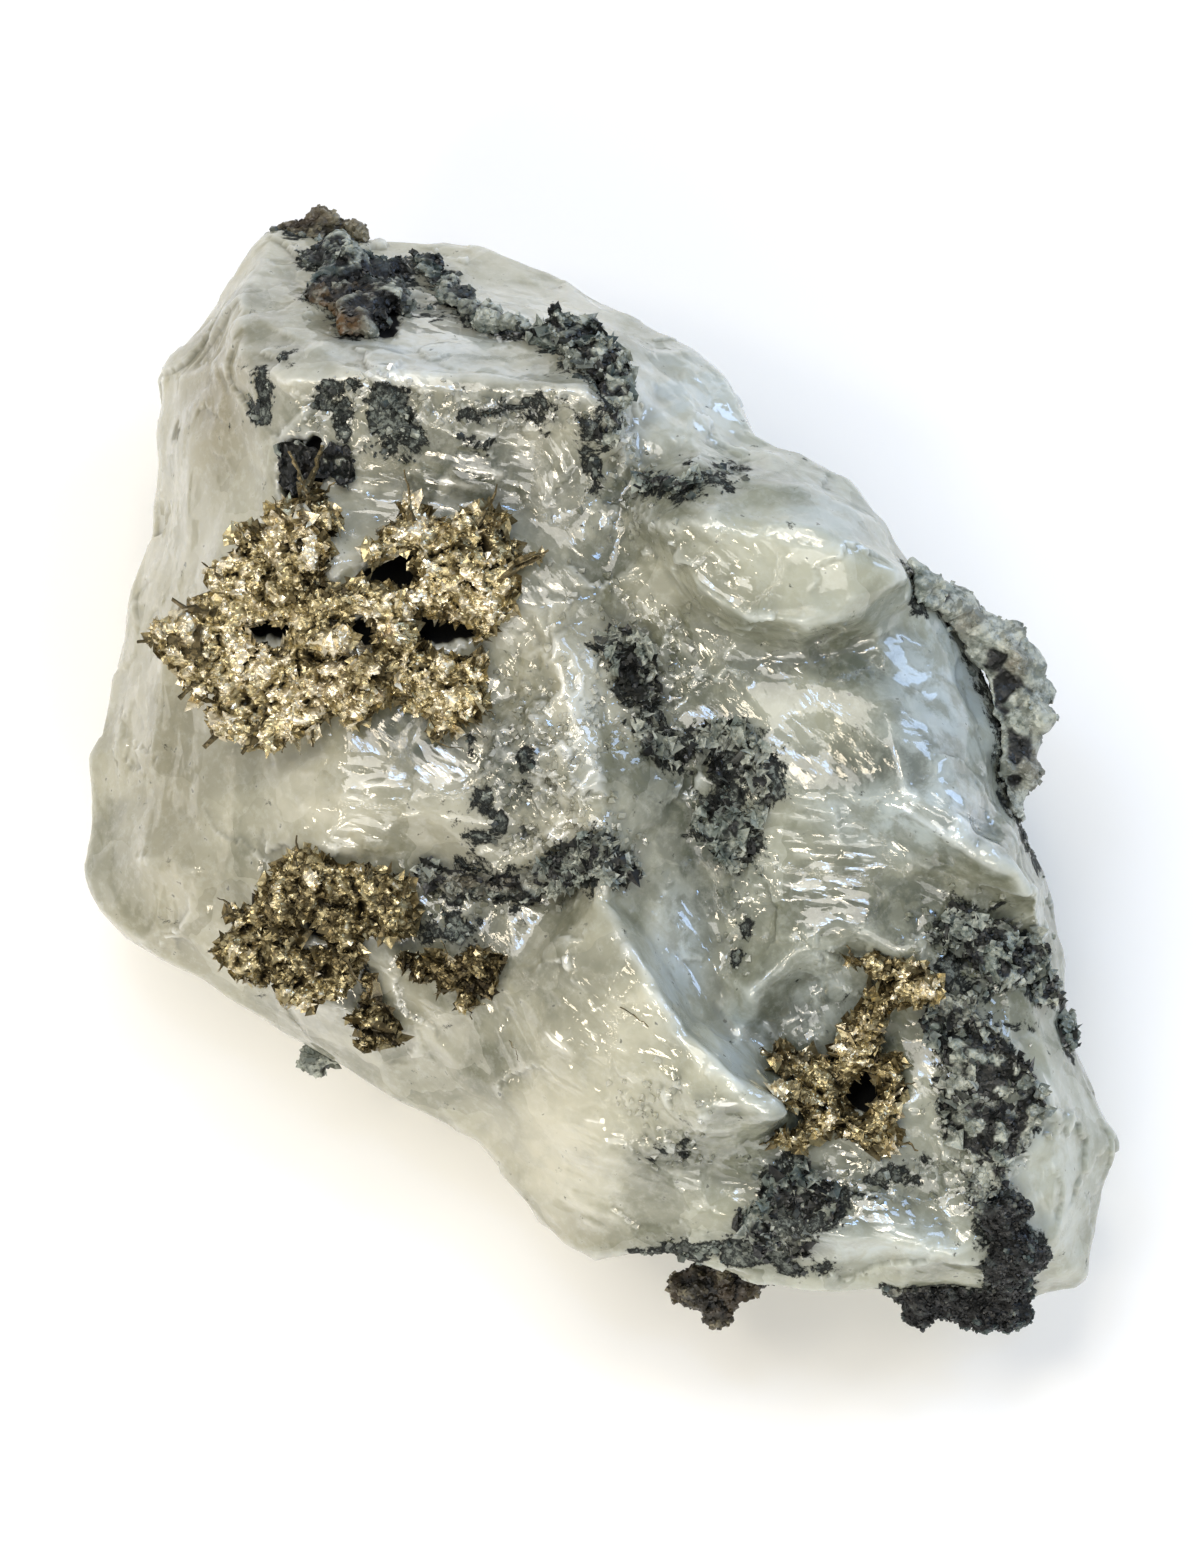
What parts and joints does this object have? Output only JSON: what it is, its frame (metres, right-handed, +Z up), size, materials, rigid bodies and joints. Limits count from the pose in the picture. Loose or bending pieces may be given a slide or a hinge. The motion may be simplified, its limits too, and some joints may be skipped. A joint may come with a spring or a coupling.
{
  "type": "native silver on matrix",
  "caption": "Hand-size mineral specimen: milky etched calcite block with hackly brown-gold tarnished native silver mats and rough dark grey ore, lying on a flat foot.",
  "frame": {"origin": "centre of the bounding box at the level of the flat foot", "axes": "+X along the block's long axis, +Z up out of the flat foot, +Y across the block towards its back edge; the display face looks up, leaning 15 degrees towards the corner between +X and -Y"},
  "size_m": [0.0963, 0.0614, 0.0442],
  "materials": {
    "milky_calcite": "milky white to grey, translucent, glossy, softly etched",
    "tarnished_silver": "hackly native silver with a brown-gold tarnish, glinting",
    "dark_ore": "rough granular dark grey sulphide, dull with small glints",
    "brown_ore": "rough brown weathered crust, matt"
  },
  "bodies": {
    "root": {"matrix": "milky_calcite", "silver_mat_upper": "tarnished_silver", "silver_mat_lower": "tarnished_silver", "silver_tuft": "tarnished_silver", "silver_twig": "tarnished_silver", "silver_branch_right": "tarnished_silver", "silver_neck": "tarnished_silver", "ore_knob_top": "dark_ore", "ore_vein_back": "dark_ore", "ore_knob_ridge": "dark_ore", "ore_nest_neck": "dark_ore", "ore_lens_edge": "dark_ore", "ore_nest_upper": "dark_ore", "ore_nest_small": "dark_ore", "ore_nest_centre": "dark_ore", "ore_seam": "dark_ore", "ore_flank_right": "dark_ore", "ore_patch_right": "dark_ore", "ore_scree": "dark_ore", "ore_edge_right": "dark_ore", "ore_corner": "dark_ore", "ore_nest_bottom": "dark_ore", "ore_spur_left": "dark_ore", "ore_tip_top": "brown_ore", "ore_foot_lump": "brown_ore"}
  },
  "joints": []
}
